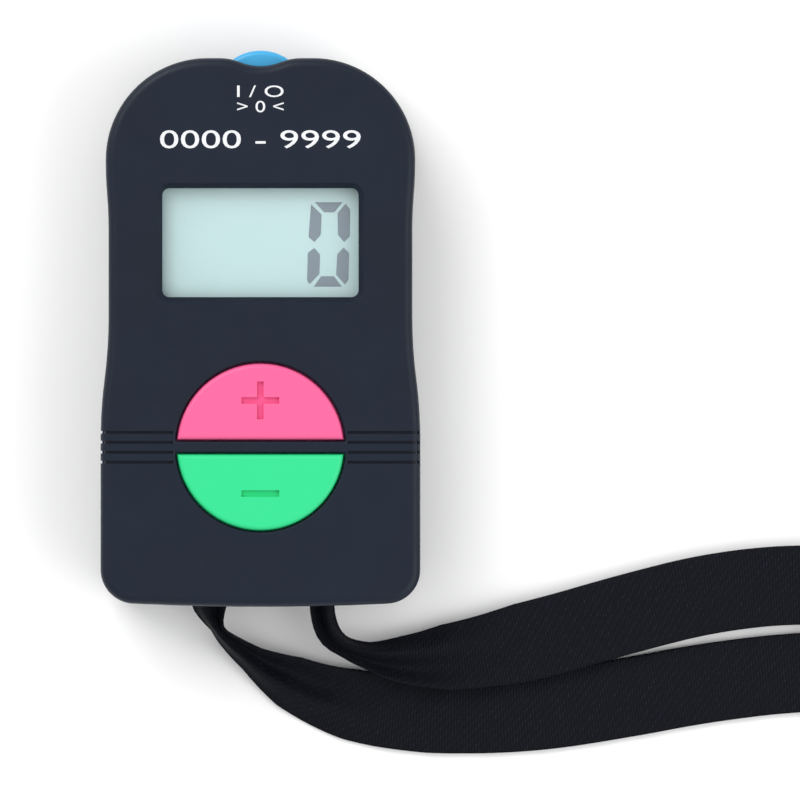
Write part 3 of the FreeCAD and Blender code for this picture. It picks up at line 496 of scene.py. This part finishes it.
def coil_points():
    """The doubled ribbon rolled up on edge: in along the outer strand, round the end loop and out
    along the inner one, as the spline's control points."""
    outer, inner = [], []
    steps = round(COIL_TURNS * COIL_POINTS_PER_TURN)
    for step in range(steps + 1):
        turn = step / COIL_POINTS_PER_TURN
        angle = math.tau * turn - math.pi / 2
        heading = Vector((math.cos(angle), math.sin(angle)))
        radius = COIL_START - COIL_PITCH * turn
        outer.append(COIL_CENTRE + heading * radius)
        inner.append(COIL_CENTRE + heading * (radius - STRAND_GAP))
    ahead = (outer[-1] - outer[-2]).normalized()
    side = (inner[-1] - outer[-1]).normalized()
    turnaround = outer[-1] + (inner[-1] - outer[-1]) / 2
    loop = [turnaround + ahead * along * MM + side * across * MM for along, across in END_LOOP]
    plan = outer + loop + inner[::-1]
    return [(p.x, p.y, ON_EDGE_Z) for p in plan]


def spline_line(points):
    """Points read along the NURBS spline of a route."""
    data = bpy.data.curves.new("ribbon_route", "CURVE")
    data.dimensions = "3D"
    data.resolution_u = 24
    spline = data.splines.new("NURBS")
    spline.points.add(len(points) - 1)
    for point, place in zip(spline.points, points):
        point.co = (*place, 1.0)
    spline.order_u = 3
    spline.use_endpoint_u = True
    route = bpy.data.objects.new("ribbon_route", data)
    bpy.context.scene.collection.objects.link(route)
    bpy.context.view_layer.update()
    graph = bpy.context.evaluated_depsgraph_get()
    mesh = bpy.data.meshes.new_from_object(route.evaluated_get(graph))
    line = [vertex.co.copy() for vertex in mesh.vertices]
    bpy.data.objects.remove(route)
    bpy.data.curves.remove(data)
    bpy.data.meshes.remove(mesh)
    return line


def even(line, step):
    """The same line at even steps."""
    travelled = [0.0]
    for a, b in zip(line, line[1:]):
        travelled.append(travelled[-1] + (b - a).length)
    count = max(int(travelled[-1] / step), 2)
    result, k = [], 0
    for n in range(count + 1):
        want = travelled[-1] * n / count
        while k < len(line) - 2 and travelled[k + 1] < want:
            k += 1
        share = (want - travelled[k]) / max(travelled[k + 1] - travelled[k], 1e-12)
        result.append(line[k].lerp(line[k + 1], share))
    return result, travelled[-1]


def ease(low, high, x):
    x = min(max((x - low) / (high - low), 0.0), 1.0)
    return x * x * (3 - 2 * x)


# how wide the gathered ribbon lies, as (millimetres from its slot, share of its full width)
ENDS = {
    "left": [
        (0, 0.46), (1.5, 0.45), (4.8, 0.17), (5.8, 0.17), (12, 0.36), (18, 0.68), (27, 0.90),
        (38, 1.0),
    ],
    "right": [(0, 0.31), (5.5, 0.31), (8.5, 0.25), (12, 0.34), (16.5, 0.58), (23, 0.83), (34, 1.0)],
}
# where it turns from flat to on edge, along it from either slot
TWIST = (92.0 * MM, 122.0 * MM)
PLEATS = 1.5
# how much of the gathered width's slope the pleats take up, and the most they swing
PLEAT_FULLNESS = 0.8
PLEAT_SWING = 0.8 * MM
# the shares of the full width at which pleats begin and reach their swing
PLEAT_FADE = (1.0, 0.85)
# ripples in the weave: how high, and radians for each millimetre along and each point across
CRIMP = 0.05 * MM
CRIMP_ALONG = 0.9
CRIMP_ACROSS = 0.35
ACROSS = 28
LOWEST = 0.08 * MM


def gathered(distance, end):
    """The share of its full width that the ribbon lies at, this far from an end."""
    for (start, wide), (stop, next_wide) in zip(end, end[1:]):
        if distance < stop * MM:
            return wide + (next_wide - wide) * (distance / MM - start) / (stop - start)
    return 1.0


def section_at(distance, end):
    """The ribbon's middle surface at a distance from one end, as (across, up) from edge to edge."""
    share = gathered(distance, end)
    width = RIBBON_WIDTH * share
    slope = math.sqrt(max(1 / share**2 - 1, 0.0)) * PLEAT_FULLNESS
    swing = min(width * slope / (math.tau * PLEATS), PLEAT_SWING) * ease(*PLEAT_FADE, share)
    places = []
    for n in range(ACROSS + 1):
        q = n / ACROSS - 0.5
        places.append((q * width, swing * math.sin(math.tau * PLEATS * q)))
    return places


def ribbon_points(line, length):
    """The ribbon's two faces, row by row along its line, and each point's place on the weave."""
    upright = Vector((0, 0, 1))
    last = len(line) - 1
    vertices, maps = [], []
    for n, place in enumerate(line):
        ahead = (line[min(n + 1, last)] - line[max(n - 1, 0)]).normalized()
        way = n / last * length
        near, end = min((way, "left"), (length - way, "right"))
        level = Vector((ahead.y, -ahead.x, 0)).normalized()
        angle = math.pi / 2 * ease(*TWIST, near)
        across = level * math.cos(angle) + upright * math.sin(angle)
        normal = across.cross(ahead)
        section = section_at(near, ENDS[end])
        for side in (1, -1):
            for k, (u, v) in enumerate(section):
                crimp = CRIMP * math.sin(way / MM * CRIMP_ALONG + k * CRIMP_ACROSS)
                spot = place + across * u + normal * (v + crimp + side * RIBBON_THICK / 2)
                spot.z = max(spot.z, LOWEST + (side + 1) / 2 * RIBBON_THICK)
                vertices.append(spot)
                maps.append((k / ACROSS * RIBBON_WIDTH / MM, way / MM))
    return vertices, maps


def ribbon_faces(rows):
    """The faces of the ribbon's two sides, its edges and its two ends."""
    wide = ACROSS + 1
    ring = 2 * wide
    faces = []
    for n in range(rows - 1):
        a, b = n * ring, (n + 1) * ring
        for k in range(ACROSS):
            faces.append((a + k, a + k + 1, b + k + 1, b + k))
            faces.append((a + wide + k + 1, a + wide + k, b + wide + k, b + wide + k + 1))
        faces.append((a, b, b + wide, a + wide))
        faces.append((a + ACROSS, a + wide + ACROSS, b + wide + ACROSS, b + ACROSS))
    for a, flip in ((0, False), ((rows - 1) * ring, True)):
        for k in range(ACROSS):
            face = (a + k, a + wide + k, a + wide + k + 1, a + k + 1)
            faces.append(face[::-1] if flip else face)
    return faces


def ribbon(shop):
    points = LEFT_ROUTE + coil_points() + RIGHT_ROUTE[::-1]
    line, length = even(spline_line(points), RIBBON_STEP)
    vertices, maps = ribbon_points(line, length)
    faces = ribbon_faces(len(line))
    piece = mesh_object("lanyard_ribbon", vertices, faces)
    weave = piece.data.uv_layers.new(name="weave")
    for loop in piece.data.loops:
        weave.data[loop.index].uv = maps[loop.vertex_index]
    clean = bmesh.new()
    clean.from_mesh(piece.data)
    bmesh.ops.recalc_face_normals(clean, faces=clean.faces)
    clean.to_mesh(piece.data)
    clean.free()
    piece.data.materials.append(shop["ribbon"])
    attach(piece, CASE)
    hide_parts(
        "lanyard_neck_left",
        "lanyard_band_left",
        "lanyard_neck_right",
        "lanyard_band_right",
        "lanyard_coil",
    )
    print("ribbon length", round(length, 4))


# ---------------------------------------------------------------- display


def digit_zero(shop):
    """The shown 0: six mitred segments on the display's film, leaning a little to the right."""
    level, thick = FILM_Z + 0.01 * MM, 0.02 * MM
    # in millimetres
    shapes = [
        [(7.45, 17.4), (11.3, 17.4), (10.15, 16.0), (8.75, 16.0)],
        [(7.3, 5.75), (11.2, 5.75), (10.1, 7.2), (8.35, 7.2)],
        [(6.95, 17.1), (8.4, 15.7), (8.3, 12.9), (7.4, 11.9), (6.6, 12.6)],
        [(11.7, 17.2), (12.35, 16.4), (12.3, 12.7), (11.5, 11.9), (10.65, 12.9), (10.6, 15.9)],
        [(6.75, 6.1), (8.1, 7.5), (8.2, 10.2), (7.4, 11.1), (6.5, 10.4), (6.4, 6.6)],
        [(11.6, 6.05), (12.1, 6.7), (12.2, 10.4), (11.4, 11.15), (10.55, 10.2), (10.4, 7.4)],
    ]
    outlines = [[(x * MM, y * MM) for x, y in shape] for shape in shapes]
    piece = prisms("lcd_digit", outlines, level, thick)
    piece.data.materials.append(shop["segment"])
    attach(piece, CASE)


def prisms(name, outlines, low, thick):
    """Thin closed plates, one for each outline."""
    vertices, faces = [], []
    for outline in outlines:
        area = sum(a[0] * b[1] - b[0] * a[1] for a, b in zip(outline, outline[1:] + outline[:1]))
        if area < 0:
            outline = outline[::-1]
        start, count = len(vertices), len(outline)
        vertices += [(x, y, low) for x, y in outline] + [(x, y, low + thick) for x, y in outline]
        faces.append(tuple(start + k for k in reversed(range(count))))
        faces.append(tuple(start + count + k for k in range(count)))
        for k in range(count):
            after = (k + 1) % count
            faces.append((start + k, start + after, start + count + after, start + count + k))
    return mesh_object(name, vertices, faces, smooth=False)


# ---------------------------------------------------------------- printing

# the ink's top above the case, and its thickness
INK_ABOVE = 0.02 * MM
INK_THICK = 0.018 * MM


def lettering(name, words, centre, height, width, shop):
    """Generic printed figures, set to a height and a width."""
    data = bpy.data.curves.new(name, "FONT")
    data.body = words
    data.resolution_u = 4
    writing = bpy.data.objects.new(name, data)
    bpy.context.scene.collection.objects.link(writing)
    bpy.context.view_layer.update()
    graph = bpy.context.evaluated_depsgraph_get()
    mesh = bpy.data.meshes.new_from_object(writing.evaluated_get(graph))
    bpy.data.objects.remove(writing)
    xs = [v.co.x for v in mesh.vertices]
    ys = [v.co.y for v in mesh.vertices]
    scale_x, scale_y = width / (max(xs) - min(xs)), height / (max(ys) - min(ys))
    shift = Vector(((max(xs) + min(xs)) / 2, (max(ys) + min(ys)) / 2, 0))
    for vertex in mesh.vertices:
        away = vertex.co - shift
        x, y = centre[0] + away.x * scale_x, centre[1] + away.y * scale_y
        vertex.co = (x, y, FRONT_Z + INK_ABOVE)
    piece = bpy.data.objects.new(name, mesh)
    bpy.context.scene.collection.objects.link(piece)
    solid = bmesh.new()
    solid.from_mesh(mesh)
    bmesh.ops.remove_doubles(solid, verts=solid.verts, dist=0.001 * MM)
    bmesh.ops.recalc_face_normals(solid, faces=solid.faces)
    grown = bmesh.ops.extrude_face_region(solid, geom=solid.faces[:])
    for item in grown["geom"]:
        if isinstance(item, bmesh.types.BMVert):
            item.co.z -= INK_THICK
    bmesh.ops.recalc_face_normals(solid, faces=solid.faces)
    solid.to_mesh(mesh)
    solid.free()
    mesh.materials.clear()
    mesh.materials.append(shop["ink"])
    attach(piece, CASE)


def printing(shop):
    for name, words, y, height, width in (
        ("print_count_range", "0000 - 9999", 26.0, 2.5, 27.6),
        ("print_on_off", "I / O", 32.6, 1.6, 6.4),
        ("print_zero", "> 0 <", 30.5, 1.6, 6.4),
    ):
        lettering(name, words, (0.0, y * MM), height * MM, width * MM, shop)


# ---------------------------------------------------------------- rubber domes


def turned(name, section, centre, count=48):
    """A closed section of (radius, height), turned about a vertical axis."""
    vertices, faces, rings = [], [], []
    for radius, height in section:
        steps = count if radius else 1
        rings.append([len(vertices) + k % steps for k in range(count + 1)])
        for k in range(steps):
            angle = math.tau * k / count
            x, y = centre[0] + radius * math.cos(angle), centre[1] + radius * math.sin(angle)
            vertices.append((x, y, height))
    for a, b in zip(rings, rings[1:] + rings[:1]):
        for k in range(count):
            # a point on the axis is every point of its ring, so its faces have a corner less
            face = tuple(dict.fromkeys((a[k + 1], a[k], b[k], b[k + 1])))
            if len(face) > 2:
                faces.append(face)
    return mesh_object(name, vertices, faces)


def rubber_dome(node, shop):
    low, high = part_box(node)
    centre = ((low[0] + high[0]) / 2, (low[1] + high[1]) / 2)
    foot, top = low[2], high[2]
    wide = (high[0] - low[0]) / 2
    # the outside from the crown down to the foot, then the inside back up
    section = [
        (0.0, top),
        (2.6 * MM, top),
        (2.85 * MM, top - 0.12 * MM),
        (2.95 * MM, top - 0.8 * MM),
        (3.2 * MM, top - 1.35 * MM),
        (3.75 * MM, foot + 1.1 * MM),
        (wide, foot + 0.75 * MM),
        (wide, foot),
        (wide - 0.5 * MM, foot),
        (wide - 0.55 * MM, foot + 0.5 * MM),
        (2.75 * MM, top - 1.2 * MM),
        (2.1 * MM, top - 1.1 * MM),
        (2.0 * MM, top - 1.48 * MM),
        (0.0, top - 1.48 * MM),
    ]
    piece = turned(f"{node}_skin", section, centre)
    piece.data.materials.append(shop["silicone"])
    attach(piece, CASE)
    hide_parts(node)
    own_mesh(piece)


# ---------------------------------------------------------------- all of it

camera()
studio()
shop = make_materials()
dress_frame(shop)
ribbon(shop)
digit_zero(shop)
printing(shop)
rubber_dome("plus_dome", shop)
rubber_dome("minus_dome", shop)
